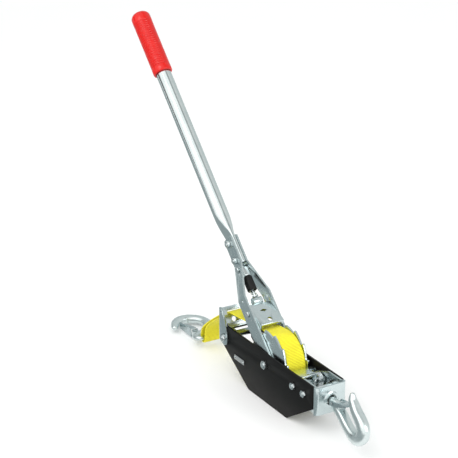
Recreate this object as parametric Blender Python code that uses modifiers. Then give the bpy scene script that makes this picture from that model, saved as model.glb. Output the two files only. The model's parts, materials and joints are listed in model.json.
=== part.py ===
"""Come-along winch: a web-strap ratchet puller, built as separate pieces.

Every length below is in millimetres and is turned into metres where a shape is made.
The design frame has its origin on the drum axle, on the winch's middle plane: X runs
forward to the anchor hook, Y to the far side plate and Z up. The whole design then sits
at AXLE in the part's own frame, whose origin is on the floor under the middle of the part.
"""
import math

import bmesh
import bpy
from mathutils import Euler, Matrix, Vector

MM = 0.001
GAP = 0.3                      # air left between two pieces that touch
FLOOR = -63.8                  # the floor, below the axle
AXLE = (109.0, 0.0, -FLOOR)    # the drum axle in the part's frame

# Frame
PLATE_IN, PLATE_OUT = 24.2, 27.2          # side plates, distance from the middle plane
PLATE_TOP, PLATE_REAR, PLATE_FRONT = 18.3, -127.5, 130.0
FOOT_REAR, FOOT_FRONT = -50.0, 60.0       # the straight bottom edge the winch stands on
BOLT_A, BOLT_B, BOLT_REAR = (80.0, -0.7), (109.0, -0.8), (-118.2, -0.8)
BOLT_R, BOLT_HOLE_R, BOLT_FLATS, NUT_HIGH, HEAD_HIGH = 2.9, 3.4, 10.0, 5.0, 4.0
AXLE_R, AXLE_HOLE_R = 4.2, 4.6
LABEL_AT = (-77.0, -24.0)

# Front yoke and rear guide
YOKE_OUT, YOKE_STEEL, YOKE_REAR, YOKE_FRONT = 23.9, 3.0, 66.0, 138.5
YOKE_FLARE = 3.1               # the yoke is wider where it is past the plates
YOKE_BOTTOM, YOKE_TOP = -26.0, 18.0
SHANK_Z, SHANK_HOLE_R = -5.0, 8.8
GUIDE_IN, GUIDE_OUT, GUIDE_STEEL = 27.5, 30.5, 2.6
WALL_TOP, WALL_FOOT = (-132.5, 44.0), (-118.5, 15.5)
SHELF_FRONT, SHELF_Z = -93.5, 11.5
SLOT_HALF, SLOT_HIGH, SLOT_DOWN, EYE_DOWN = 20.8, 6.8, 10.6, 21.8

# Drum and strap
WHEEL_IN, WHEEL_OUT = 16.8, 19.8
TEETH, TIP_R, ROOT_R = 12, 51.5, 46.0
TOOTH_PHASE = 108.0            # the angle of one steep tooth face, from X towards Z
HUB_R, ROLL_R = 13.0, 44.5
WEB_HALF, WEB_THICK = 16.0, 2.2

# Lever, measured along it from the axle
LEAN = 45.1
ARM_IN, ARM_OUT = 20.6, 23.6
ARM_TOP, ARM_WIDE, ARM_NARROW = 213.0, 15.5, 12.5
ARM_TOP_CENTRE = 5.2
BEND_LOW, BEND_HIGH = 111.0, 167.0
PAWL_PIN, SMALL_HOLE, ANCHOR_PIN = 84.0, 106.0, 158.0
HANDLE_BOLTS = (174.0, 203.0)
TUBE_R, TUBE_WALL = 12.7, 1.6
TUBE_START, TUBE_END, GRIP_START, GRIP_END = 166.0, 626.0, 517.5, 634.0
GRIP_R = 16.2

# Pawls
PAWL_SLOPE = 19.8                    # the drive pawl's plate falls this many degrees towards the drum
PAWL_HALF = 20.2
THUMB_HALF, THUMB_FAR = 19.9, 6.5    # the thumb plate leaves room for the spring on the far side
TAIL_AT, TAIL_R = (-15.0, 9.0), 5.8  # the drive pawl's rolled tail, from its pivot
PLUNGER_ROD_R, PLUNGER_FOOT = 2.8, -50.3

# Hooks
HOOK_AXIS = (0.9794, -0.0672, -0.2530)
HOOK_ROLL = 84.0
LATCH_PIN_R = 1.6
ANCHOR_LATCH, ANCHOR_LATCH_TURN = (14.0, 5.6, 0.0), 25.5
STRAP_BAR = (-213.3, 0.0, -44.6)     # the bar of the strap hook, inside the sewn loop
STRAP_DROP = -9.9                    # the strap hook's body lies this much below its bar
STRAP_LATCH, STRAP_LATCH_TURN = (41.2, 7.0, STRAP_DROP), 4.0

UPRIGHT = (90.0, 0.0, 0.0)     # lays a flat outline into the XZ plane, its thickness along Y


# ---------------------------------------------------------------- tools

def clear_scene():
    for obj in list(bpy.data.objects):
        bpy.data.objects.remove(obj, do_unlink=True)


def new_collection(name):
    group = bpy.data.collections.new(name)
    bpy.context.scene.collection.children.link(group)
    return group


def finish(name, colour, roughness, metallic=0.0):
    made = bpy.data.materials.new(name)
    made.use_nodes = True
    shader = made.node_tree.nodes["Principled BSDF"]
    shader.inputs["Base Color"].default_value = (*colour, 1.0)
    shader.inputs["Roughness"].default_value = roughness
    shader.inputs["Metallic"].default_value = metallic
    made.diffuse_color = (*colour, 1.0)
    return made


def turned_by(turn):
    return tuple(math.radians(angle) for angle in turn)


def pivot(name, at=(0, 0, 0), turn=(0, 0, 0), parent=None):
    """An empty that a moving group of pieces hangs on, on its joint's axis."""
    empty = bpy.data.objects.new(name, None)
    PARTS.objects.link(empty)
    empty.parent = parent
    empty.location = Vector(at) * MM
    empty.rotation_euler = turned_by(turn)
    return empty


def piece(name, mesh, material, parent, at=(0, 0, 0), turn=(0, 0, 0)):
    """One named sub-part, placed in its parent's frame."""
    mesh.name = name
    obj = bpy.data.objects.new(name, mesh)
    PARTS.objects.link(obj)
    obj.parent = parent
    obj.location = Vector(at) * MM
    obj.rotation_euler = turned_by(turn)
    mesh.materials.clear()
    mesh.materials.append(material)
    mesh.shade_smooth()
    mesh.set_sharp_from_angle(angle=math.radians(35))
    return obj


def evaluated(obj):
    """The object's shape with its modifiers, welded into a mesh; the object is removed."""
    bpy.context.view_layer.update()
    graph = bpy.context.evaluated_depsgraph_get()
    mesh = bpy.data.meshes.new_from_object(obj.evaluated_get(graph))
    mesh.transform(obj.matrix_world)
    bpy.data.objects.remove(obj, do_unlink=True)
    work = bmesh.new()
    work.from_mesh(mesh)
    bmesh.ops.remove_doubles(work, verts=work.verts, dist=0.00001)
    bmesh.ops.recalc_face_normals(work, faces=work.faces)
    work.to_mesh(mesh)
    work.free()
    return mesh


def staged(data):
    obj = bpy.data.objects.new("work", data)
    WORK.objects.link(obj)
    return obj


def rounded(corners, step=18.0):
    """An outline through (x, y, radius) corners, each corner rounded by an arc."""
    points = []
    count = len(corners)
    for i, (x, y, radius) in enumerate(corners):
        here = Vector((x, y))
        before = Vector(corners[i - 1][:2]) - here
        after = Vector(corners[(i + 1) % count][:2]) - here
        if radius <= 0:
            points.append(here)
            continue
        before.normalize()
        after.normalize()
        half = before.angle(after) / 2
        middle = here + (before + after).normalized() * (radius / math.sin(half))
        start = here + before * (radius / math.tan(half)) - middle
        sweep = (here + after * (radius / math.tan(half)) - middle)
        angle = start.angle_signed(sweep)
        steps = max(1, round(abs(math.degrees(angle)) / step))
        for k in range(steps + 1):
            points.append(middle + Matrix.Rotation(-angle * k / steps, 2) @ start)
    return points


def ring(x, y, radius, count=24):
    turns = [2 * math.pi * k / count for k in range(count)]
    return [Vector((x + radius * math.cos(a), y + radius * math.sin(a))) for a in turns]


def obround(x, y, half_long, half_high, count=12):
    """A slot outline with round ends, long in x."""
    points = []
    for side in (1, -1):
        centre = x + side * (half_long - half_high)
        for k in range(count + 1):
            a = math.pi * k / count - math.pi / 2
            points.append(Vector((centre + side * half_high * math.cos(a),
                                  y + side * half_high * math.sin(a))))
    return points


def flat(outline, thickness, holes=(), edge=0.0):
    """A plate of this outline in XY, its thickness centred on Z, with its holes."""
    curve = bpy.data.curves.new("outline", "CURVE")
    curve.dimensions = "2D"
    curve.fill_mode = "BOTH"
    curve.extrude = thickness / 2 * MM
    for loop in (outline, *holes):
        spline = curve.splines.new("POLY")
        spline.points.add(len(loop) - 1)
        for point, place in zip(spline.points, loop):
            point.co = (place[0] * MM, place[1] * MM, 0, 1)
        spline.use_cyclic_u = True
    mesh = evaluated(staged(curve))
    if edge:
        mesh = bevelled(mesh, edge)
    return mesh


def bevelled(mesh, width, angle=50.0, segments=1):
    work = bmesh.new()
    work.from_mesh(mesh)
    bmesh.ops.dissolve_limit(work, angle_limit=math.radians(2), verts=work.verts, edges=work.edges)
    work.to_mesh(mesh)
    work.free()
    obj = staged(mesh)
    bevel = obj.modifiers.new("bevel", "BEVEL")
    bevel.width = width * MM
    bevel.segments = segments
    bevel.limit_method = "ANGLE"
    bevel.angle_limit = math.radians(angle)
    return evaluated(obj)


def rod(radius, low, high, count=24):
    """A cylinder along Z."""
    work = bmesh.new()
    bmesh.ops.create_cone(work, cap_ends=True, segments=count, radius1=radius * MM,
                          radius2=radius * MM, depth=(high - low) * MM)
    bmesh.ops.translate(work, verts=work.verts, vec=(0, 0, (high + low) / 2 * MM))
    mesh = bpy.data.meshes.new("rod")
    work.to_mesh(mesh)
    work.free()
    return mesh


def block(low, high):
    work = bmesh.new()
    bmesh.ops.create_cube(work, size=1.0)
    low, high = Vector(low) * MM, Vector(high) * MM
    bmesh.ops.scale(work, verts=work.verts, vec=high - low)
    bmesh.ops.translate(work, verts=work.verts, vec=(high + low) / 2)
    mesh = bpy.data.meshes.new("block")
    work.to_mesh(mesh)
    work.free()
    return mesh


def moved(mesh, at=(0, 0, 0), turn=(0, 0, 0)):
    place = Matrix.Translation(Vector(at) * MM) @ Euler(turned_by(turn)).to_matrix().to_4x4()
    mesh.transform(place)
    return mesh


def combined(mesh, other, operation):
    """A boolean of two closed meshes: UNION, DIFFERENCE or INTERSECT."""
    obj, tool = staged(mesh), staged(other)
    tool.hide_render = True
    tool.display_type = "WIRE"
    boolean = obj.modifiers.new("boolean", "BOOLEAN")
    boolean.operation = operation
    boolean.object = tool
    result = evaluated(obj)
    bpy.data.objects.remove(tool, do_unlink=True)
    return result


def turned(profile, count=32):
    """A profile of (radius, height) points spun about Z; it runs down its outer side."""
    mesh = bpy.data.meshes.new("profile")
    points = [(radius * MM, 0, height * MM) for radius, height in profile]
    edges = [(i, i + 1) for i in range(len(points) - 1)]
    if profile[0][0] > 0:
        edges.append((len(points) - 1, 0))
    mesh.from_pydata(points, edges, [])
    obj = staged(mesh)
    screw = obj.modifiers.new("screw", "SCREW")
    screw.steps = count
    screw.render_steps = count
    screw.use_merge_vertices = True
    screw.merge_threshold = 0.00001
    return evaluated(obj)


def tube(outer, inner, low, high, count=24):
    return turned([(outer, high), (outer, low), (inner, low), (inner, high)], count)


def smooth_path(points, spans=4, closed=False):
    """A Catmull-Rom curve through points of any size, such as (x, y, z, radius)."""
    points = [Vector(p) for p in points]
    ends = [2 * points[0] - points[1], *points, 2 * points[-1] - points[-2]]
    if closed:
        ends = [points[-1], *points, points[0], points[1]]
    path = []
    for a, b, c, d in zip(ends, ends[1:], ends[2:], ends[3:]):
        for k in range(spans):
            t = k / spans
            path.append(0.5 * (2 * b + (c - a) * t + (2 * a - 5 * b + 4 * c - d) * t ** 2
                               + (3 * b - a - 3 * c + d) * t ** 3))
    return path if closed else path + [points[-1]]


def swept(path, radius=1.0, sides=2, squash=1.0, closed=False):
    """A round bar along a path of (x, y, z) or (x, y, z, radius) points, its ends filled."""
    curve = bpy.data.curves.new("bar", "CURVE")
    curve.dimensions = "3D"
    curve.bevel_depth = radius * MM
    curve.bevel_resolution = sides
    curve.use_fill_caps = True
    spline = curve.splines.new("POLY")
    spline.points.add(len(path) - 1)
    spline.use_cyclic_u = closed
    for point, place in zip(spline.points, path):
        point.co = (place[0] * MM, place[1] * MM, place[2] * MM, 1)
        point.radius = place[3] if len(place) > 3 else 1.0
    mesh = evaluated(staged(curve))
    mesh.transform(Matrix.Diagonal((1, 1, squash, 1)))
    return mesh


def oval(wide, deep, t, power, count=28):
    """A ring at height t: a circle at power 2, a rounded slab at a higher one."""
    points = []
    for k in range(count):
        a = 2 * math.pi * k / count
        c, s = math.cos(a), math.sin(a)
        points.append((math.copysign(abs(c) ** (2 / power), c) * wide,
                       math.copysign(abs(s) ** (2 / power), s) * deep, t))
    return points


def loft(sections):
    """A closed body through rings of the same number of points, capped at both ends."""
    work = bmesh.new()
    rings = [[work.verts.new(Vector(p) * MM) for p in section] for section in sections]
    count = len(rings[0])
    for low, high in zip(rings, rings[1:]):
        for k in range(count):
            work.faces.new((low[k], low[(k + 1) % count], high[(k + 1) % count], high[k]))
    work.faces.new(rings[0])
    work.faces.new(rings[-1])
    bmesh.ops.recalc_face_normals(work, faces=work.faces)
    mesh = bpy.data.meshes.new("loft")
    work.to_mesh(mesh)
    work.free()
    return mesh


def forged(path, count=20):
    """A forged bar along (x, y, z, half width, half depth, squareness) points, its depth along Z."""
    sections = []
    for i, (x, y, z, wide, deep, power) in enumerate(path):
        before, after = path[max(0, i - 1)], path[min(len(path) - 1, i + 1)]
        across = Vector((before[1] - after[1], after[0] - before[0], 0)).normalized()
        sections.append([Vector((x, y, z + v)) + across * u for u, v, _ in oval(wide, deep, 0, power, count)])
    return loft(sections)


def drilled(mesh, radius, at, turn=UPRIGHT, depth=120.0):
    """The mesh with a round hole whose axis runs through this point."""
    return combined(mesh, moved(rod(radius, -depth / 2, depth / 2, 20), at, turn), "DIFFERENCE")


# ---------------------------------------------------------------- fasteners

def bolt_mesh(radius, head_flats, reach, length):
    """A hex bolt along Z: the head's underside is at `reach`, the shank runs down from it."""
    hexagon = ring(0, 0, head_flats / math.sqrt(3), 6)
    head = moved(flat(hexagon, HEAD_HIGH), (0, 0, reach + HEAD_HIGH / 2))
    return combined(rod(radius, reach - length, reach + 1.0, 20), head, "UNION")


def nut_mesh(flats, hole, thick):
    hexagon = ring(0, 0, flats / math.sqrt(3), 6)
    return flat(hexagon, thick, [ring(0, 0, hole, 20)], edge=0.6)


def bolt_across(name, parent, place, reach, radius=BOLT_R, flats=BOLT_FLATS, nut_high=NUT_HIGH):
    """A bolt along Y with its head on the far side and its nut on the near side."""
    x, z = place
    far = reach + GAP
    bolt = bolt_mesh(radius, flats, far, 2 * far + nut_high + 1.5)
    piece(name, bolt, STEEL, parent, (x, 0, z), (-90, 0, 0))
    nut = nut_mesh(flats, radius + 0.35, nut_high)
    piece(name + "_nut", nut, STEEL, parent, (x, -(far + nut_high / 2), z), UPRIGHT)


def headed_pin(name, parent, t, radius, reach, head):
    """A pin along Y in the lever's frame, with a round head at each end."""
    outer = reach + GAP
    profile = [(0, outer + 1.8), (head - 0.6, outer + 1.8), (head, outer + 1.2), (head, outer),
               (radius, outer), (radius, -outer), (head, -outer), (head, -outer - 1.2),
               (head - 0.6, -outer - 1.8), (0, -outer - 1.8)]
    piece(name, turned(profile, 20), STEEL, parent, (0, 0, t), UPRIGHT)


# ---------------------------------------------------------------- frame

def side_plates(frame):
    outline = rounded([
        (PLATE_REAR, PLATE_TOP, 2), (PLATE_REAR, -17.5, 3), (FOOT_REAR, FLOOR, 5),
        (FOOT_FRONT, FLOOR, 5), (PLATE_FRONT, -18.2, 3), (PLATE_FRONT, PLATE_TOP, 2)])
    holes = [ring(0, 0, AXLE_HOLE_R)]
    holes += [ring(x, z, BOLT_HOLE_R) for x, z in (BOLT_A, BOLT_B, BOLT_REAR)]
    for name, side in (("near", -1), ("far", 1)):
        plate = flat(outline, PLATE_OUT - PLATE_IN, holes, edge=0.4)
        piece("side_plate_" + name, plate, BLACK, frame, (0, side * (PLATE_IN + PLATE_OUT) / 2, 0), UPRIGHT)


def yoke_path(inset):
    """Half of the yoke's plan outline, set in from its outer face by this much."""
    inner, wide = YOKE_OUT - inset, YOKE_OUT + YOKE_FLARE - inset
    return [(YOKE_REAR, inner, 0), (PLATE_FRONT + GAP, inner, 0), (PLATE_FRONT + 2.5, wide, 0),
            (YOKE_FRONT - inset, wide, 5.8 - inset)]


def front_yoke(frame):
    outer, inner = yoke_path(0), yoke_path(YOKE_STEEL)
    outer_far, inner_far = [[(x, -y, r) for x, y, r in path] for path in (outer, inner)]
    plan = rounded([*outer, *reversed(outer_far), *inner_far, *reversed(inner)])
    mesh = moved(flat(plan, YOKE_TOP - YOKE_BOTTOM), (0, 0, (YOKE_TOP + YOKE_BOTTOM) / 2))
    side = rounded([(YOKE_REAR - 1, YOKE_BOTTOM + 6, 8), (YOKE_REAR + 22, YOKE_BOTTOM - 0.5, 20),
                    (YOKE_FRONT + 5, YOKE_BOTTOM - 0.5, 0), (YOKE_FRONT + 5, YOKE_TOP + 0.5, 0),
                    (99.0, YOKE_TOP + 0.5, 6), (YOKE_REAR - 1, 6.0, 4)])
    mesh = combined(mesh, moved(flat(side, 80), (0, 0, 0), UPRIGHT), "INTERSECT")
    boss = turned([(SHANK_HOLE_R + 2.5, 1.6), (SHANK_HOLE_R + 5.5, -0.5),
                   (SHANK_HOLE_R - 1.0, -0.5), (SHANK_HOLE_R - 1.0, 1.6)], 28)
    mesh = combined(mesh, moved(boss, (YOKE_FRONT, 0, SHANK_Z), (0, 90, 0)), "UNION")
    mesh = drilled(mesh, SHANK_HOLE_R, (YOKE_FRONT, 0, SHANK_Z), (0, 90, 0), 20)
    for x, z in (BOLT_A, BOLT_B):
        mesh = drilled(mesh, BOLT_HOLE_R, (x, 0, z))
    piece("front_yoke", mesh, ZINC, frame)


def guide_wall_point(down, over=0.0):
    """A point on the rear guide's sloping wall, this far down from its top edge."""
    top, foot = Vector(WALL_TOP), Vector(WALL_FOOT)
    along = (foot - top).normalized()
    out = Vector((-along.y, along.x))
    return top + along * down + out * over


def strip(low, high, thick):
    """The outline of a straight strip of steel between two points."""
    along = (high - low).normalized()
    side = Vector((-along.y, along.x)) * (thick / 2)
    return [low - side, high - side, high + side, low + side]


def rear_guide(frame):
    """A bracket outside the plates, with a sloping slotted wall and a shelf between the plates."""
    top, foot = Vector(WALL_TOP), Vector(WALL_FOOT)
    slope = math.degrees(math.atan2(top.y - foot.y, foot.x - top.x))
    over_plates = top.lerp(foot, (top.y - PLATE_TOP - 1.6) / (top.y - foot.y))
    mesh = moved(flat(strip(top, over_plates, GUIDE_STEEL), GUIDE_IN + GUIDE_OUT), (0, 0, 0), UPRIGHT)
    between = PLATE_IN - GAP
    lower = flat(strip(top.lerp(foot, 0.4), foot.lerp(top, -0.02), GUIDE_STEEL - 0.04), 2 * between)
    mesh = combined(mesh, moved(lower, (0, 0, 0), UPRIGHT), "UNION")
    shelf = block((foot.x - 1.2, -between + 0.02, SHELF_Z),
                  (SHELF_FRONT, between - 0.02, SHELF_Z + GUIDE_STEEL))
    knee = moved(rod(2.3, -between + 0.05, between - 0.05, 16), (foot.x - 0.2, 0, SHELF_Z + 2.5), UPRIGHT)
    mesh = combined(combined(mesh, shelf, "UNION"), knee, "UNION")
    leg_outline = rounded([
        (-134.5, 44.8, 1), (-134.0, -9.0, 5), (-121.0, -16.0, 6), (-110.5, -11.5, 6),
        (-110.0, 4.0, 8), (-116.0, 23.0, 6), (-129.5, 44.8, 1)])
    for side in (-1, 1):
        leg = flat(leg_outline, GUIDE_OUT - GUIDE_IN)
        leg = moved(leg, (0, side * (GUIDE_IN + GUIDE_OUT) / 2, 0), UPRIGHT)
        mesh = combined(mesh, leg, "UNION")
    place = guide_wall_point(SLOT_DOWN)
    slot = flat(obround(0, 0, SLOT_HALF, SLOT_HIGH / 2), 20)
    slot = moved(moved(slot, turn=(0, 0, 90)), (place.x, 0, place.y), (0, slope, 0))
    mesh = combined(mesh, slot, "DIFFERENCE")
    hole = guide_wall_point(EYE_DOWN)
    mesh = combined(mesh, moved(rod(4.0, -9, 9, 20), (hole.x, -10.5, hole.y), (0, slope, 0)), "DIFFERENCE")
    window = block((-115.0, -17.0, SHELF_Z - 4), (-103.5, 17.0, SHELF_Z + 8))
    mesh = combined(mesh, window, "DIFFERENCE")
    mesh = drilled(mesh, BOLT_HOLE_R, (BOLT_REAR[0], 0, BOLT_REAR[1]))
    piece("rear_guide", mesh, ZINC, frame)


def frame_bolts(frame):
    bolt_across("drum_axle", frame, (0, 0), PLATE_OUT, AXLE_R, 12.0)
    bolt_across("pawl_bolt", frame, BOLT_A, PLATE_OUT)
    bolt_across("spring_bolt", frame, BOLT_B, PLATE_OUT)
    bolt_across("guide_bolt", frame, BOLT_REAR, GUIDE_OUT)
    inside = PLATE_IN - GAP - YOKE_STEEL - GAP
    spans = (("pawl_spacer", BOLT_A, -(THUMB_HALF - 3.3), THUMB_FAR - 3.3),
             ("spring_bush", BOLT_A, THUMB_FAR + GAP, inside),
             ("stop_spacer", BOLT_B, -inside, inside),
             ("guide_spacer", BOLT_REAR, -(PLATE_IN - GAP), PLATE_IN - GAP))
    for name, (x, z), low, high in spans:
        piece(name, tube(5.0, BOLT_HOLE_R, -high, -low, 20), STEEL, frame, (x, 0, z), UPRIGHT)


def label_plate(frame):
    outline = rounded([(-14.5, -3.9, 1), (14.5, -3.9, 1), (14.5, 3.9, 1), (-14.5, 3.9, 1)])
    holes = [ring(side * 12.0, 0, 1.2, 12) for side in (-1, 1)]
    x, z = LABEL_AT
    y = -(PLATE_OUT + GAP + 0.3)
    piece("label_plate", flat(outline, 0.6, holes), LABEL, frame, (x, y, z), UPRIGHT)
    for name, side in (("rear", -1), ("front", 1)):
        rivet = turned([(0, 1.1), (1.4, 0.8), (2.0, 0.0), (0.9, 0.0), (0.9, -0.55), (0, -0.55)], 12)
        piece("label_rivet_" + name, rivet, STEEL, frame, (x + side * 12.0, y - 0.6, z), UPRIGHT)


# ---------------------------------------------------------------- drum

def ratchet_outline():
    """Saw teeth whose steep faces look backwards over the top, so both pawls hold them."""
    points = []
    pitch = 2 * math.pi / TEETH
    for k in range(TEETH):
        start = math.radians(TOOTH_PHASE) - k * pitch
        points.append(polar(TIP_R, start))
        points.append(polar(TIP_R, start - 0.09 * pitch))
        points.append(polar(TIP_R - 2.6, start - 0.42 * pitch))
        points.append(polar(ROOT_R, start - 0.84 * pitch))
        points.append(polar(ROOT_R, start - 0.96 * pitch))
    return points


def polar(radius, angle):
    return Vector((radius * math.cos(angle), radius * math.sin(angle)))


def drum_pieces(drum):
    for name, side in (("near", -1), ("far", 1)):
        wheel = flat(ratchet_outline(), WHEEL_OUT - WHEEL_IN, [ring(0, 0, 9.4)])
        piece("ratchet_wheel_" + name, wheel, ZINC, drum, (0, side * (WHEEL_IN + WHEEL_OUT) / 2, 0), UPRIGHT)
    neck, end = WHEEL_IN - GAP, WHEEL_OUT + 0.2
    hub = turned([(9.0, end), (9.0, neck), (HUB_R, neck), (HUB_R, -neck), (9.0, -neck), (9.0, -end),
                  (AXLE_HOLE_R, -end), (AXLE_HOLE_R, end)], 28)
    piece("drum_hub", hub, STEEL, drum, (0, 0, 0), UPRIGHT)
    inner = HUB_R + GAP
    roll = turned([(ROLL_R - 0.8, WEB_HALF), (ROLL_R, WEB_HALF - 0.8), (ROLL_R, -WEB_HALF + 0.8),
                   (ROLL_R - 0.8, -WEB_HALF), (inner, -WEB_HALF), (inner, WEB_HALF)], 48)
    piece("strap_roll", roll, WEBBING, drum, (0, 0, 0), UPRIGHT)


# ---------------------------------------------------------------- lever

def arm_shift(t):
    """How far an arm's middle sits from the winch's middle plane at this height."""
    wide, close = (ARM_IN + ARM_OUT) / 2, ARM_TOP_CENTRE
    share = min(1.0, max(0.0, (t - BEND_LOW) / (BEND_HIGH - BEND_LOW)))
    return wide + (close - wide) * share


def lever_arms(lever):
    outline = rounded([
        (-ARM_WIDE, -ARM_WIDE, ARM_WIDE - 0.1), (ARM_WIDE, -ARM_WIDE, ARM_WIDE - 0.1),
        (ARM_NARROW, 108, 0), (ARM_NARROW, ARM_TOP, 2), (-ARM_NARROW, ARM_TOP, 2), (-ARM_NARROW, 108, 0)])
    holes = [ring(0, 0, AXLE_HOLE_R), ring(0, PAWL_PIN, 3.4, 16), ring(0, SMALL_HOLE, 2.6, 16),
             ring(0, ANCHOR_PIN, 3.4, 16)] + [ring(0, t, BOLT_HOLE_R, 16) for t in HANDLE_BOLTS]
    for name, side in (("near", -1), ("far", 1)):
        mesh = moved(flat(outline, ARM_OUT - ARM_IN, holes), (0, 0, 0), UPRIGHT)
        work = bmesh.new()
        work.from_mesh(mesh)
        for t in (BEND_LOW, BEND_HIGH):
            everything = [*work.verts, *work.edges, *work.faces]
            bmesh.ops.bisect_plane(work, geom=everything, plane_co=(0, 0, t * MM), plane_no=(0, 0, 1))
        for vert in work.verts:
            vert.co.y += side * arm_shift(vert.co.z / MM) * MM
        work.to_mesh(mesh)
        work.free()
        piece("lever_arm_" + name, mesh, ZINC, lever)


def handle(lever):
    flat_half = ARM_TOP_CENTRE - (ARM_OUT - ARM_IN) / 2 - GAP
    stations = ((TUBE_START, 12.0, flat_half, 7.0), (ARM_TOP + 0.5, 12.0, flat_half, 7.0),
                (219.0, 12.2, flat_half + 1.2, 4.5), (229.0, 12.6, 8.2, 3.0), (244.0, 12.9, 11.6, 2.3),
                (256.0, TUBE_R, TUBE_R, 2.0), (TUBE_END, TUBE_R, TUBE_R, 2.0))
    sections = [oval(wide, deep, t, power) for t, wide, deep, power in stations]
    bore = TUBE_R - TUBE_WALL
    sections += [oval(bore, bore, TUBE_END, 2.0), oval(bore, bore, 262.0, 2.0)]
    mesh = loft(sections)
    for t in HANDLE_BOLTS:
        mesh = drilled(mesh, BOLT_HOLE_R, (0, 0, t))
    piece("handle_tube", mesh, ZINC, lever)
    bore = TUBE_R + 0.4
    grip = turned([(0, GRIP_END), (6.5, GRIP_END - 0.8), (12.2, GRIP_END - 4.0),
                   (GRIP_R - 0.8, GRIP_END - 9.0),
                   (GRIP_R, GRIP_END - 14.0), (GRIP_R, GRIP_START + 1.5), (GRIP_R - 1.2, GRIP_START),
                   (bore, GRIP_START), (bore, TUBE_END + GAP), (0, TUBE_END + GAP)], 28)
    piece("grip", grip, RED, lever)


def lever_fasteners(lever):
    reach = ARM_TOP_CENTRE + (ARM_OUT - ARM_IN) / 2
    for k, t in enumerate(HANDLE_BOLTS):
        bolt_across(f"handle_bolt_{k + 1}", lever, (0, t), reach)
    headed_pin("drive_pawl_pin", lever, PAWL_PIN, 3.1, ARM_OUT, 5.0)
    headed_pin("plunger_pin", lever, ANCHOR_PIN, 3.1, arm_shift(ANCHOR_PIN) + 2.6, 4.8)


# ---------------------------------------------------------------- drive pawl and its plunger

def drive_pawl(hinge):
    """A channel across both wheels, in its own frame: X along the plate, Z off its face."""
    plate, steel, tip = 8.2, 3.2, 35.7
    side = rounded([
        (-11.0, plate, 1), (-8.0, -1.0, 4), (-4.0, -6.5, 5), (5.0, -6.5, 6), (26.0, 2.4, 4),
        (tip - steel, -1.6, 0), (tip, -2.9, 0), (tip, plate, 2)])
    mesh = moved(flat(side, 2 * PAWL_HALF), (0, 0, 0), UPRIGHT)
    inside = block((-40, -PAWL_HALF + steel, -30), (tip - steel, PAWL_HALF - steel, plate - steel))
    mesh = combined(mesh, inside, "DIFFERENCE")
    mesh = combined(mesh, block((tip - 12, -16.4, -9), (tip + 9, 16.4, 4.4)), "DIFFERENCE")
    tongue = moved(flat(rounded([(-16, -7.6, 2), (-5, -7.6, 0), (-5, 7.6, 0), (-16, 7.6, 2)]), steel - 0.4),
                   (0, 0, plate - steel / 2))
    curl = moved(rod(TAIL_R, -7.9, 7.9, 20), (TAIL_AT[0], 0, TAIL_AT[1]), UPRIGHT)
    mesh = combined(mesh, combined(tongue, curl, "UNION"), "UNION")
    mesh = drilled(mesh, 4.0, (26.5, 0, 0), (0, 0, 0))
    diamond = [Vector((3.2, 0)), Vector((6.2, -6.5)), Vector((9.2, 0)), Vector((6.2, 6.5))]
    mesh = combined(mesh, moved(flat(diamond, 9), (0, 0, plate)), "DIFFERENCE")
    mesh = drilled(mesh, 3.4, (0, 0, 0))
    piece("drive_pawl", mesh, ZINC, hinge)


def plunger(hinge):
    """The spring plunger below its anchor pin, in its own frame: it hangs down from Z = 0."""
    outline = rounded([(-5.2, -14, 2), (5.2, -14, 2), (5.2, 5.2, 5.1), (-5.2, 5.2, 5.1)])
    eye = flat(outline, 9.0, [ring(0, 0, 3.5, 16)])
    eye = moved(eye, (0, 0, 0), UPRIGHT)
    stem = rod(PLUNGER_ROD_R, PLUNGER_FOOT + 1.5, -13.0, 16)
    foot = rod(5.0, PLUNGER_FOOT, PLUNGER_FOOT + 2.5, 20)
    mesh = combined(combined(eye, stem, "UNION"), foot, "UNION")
    piece("plunger_rod", mesh, STEEL, hinge)
    low, high = PLUNGER_FOOT + 4.5, -15.0
    sleeve = turned([(7.2, high), (7.7, high - 0.8), (7.7, low + 8.0), (7.2, low + 7.0),
                     (5.6, low + 7.0), (5.6, high)], 24)
    piece("plunger_sleeve", sleeve, BLACK, hinge)
    turns, wire = 7, 0.6
    radius, start, end = 4.3, low, high - 0.8
    count = turns * 10
    path = [(radius * math.cos(2 * math.pi * k / 10), radius * math.sin(2 * math.pi * k / 10),
             start + (end - start) * k / count) for k in range(count + 1)]
    piece("plunger_spring", swept(path, wire, 1), STEEL, hinge)


# ---------------------------------------------------------------- holding pawl

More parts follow.
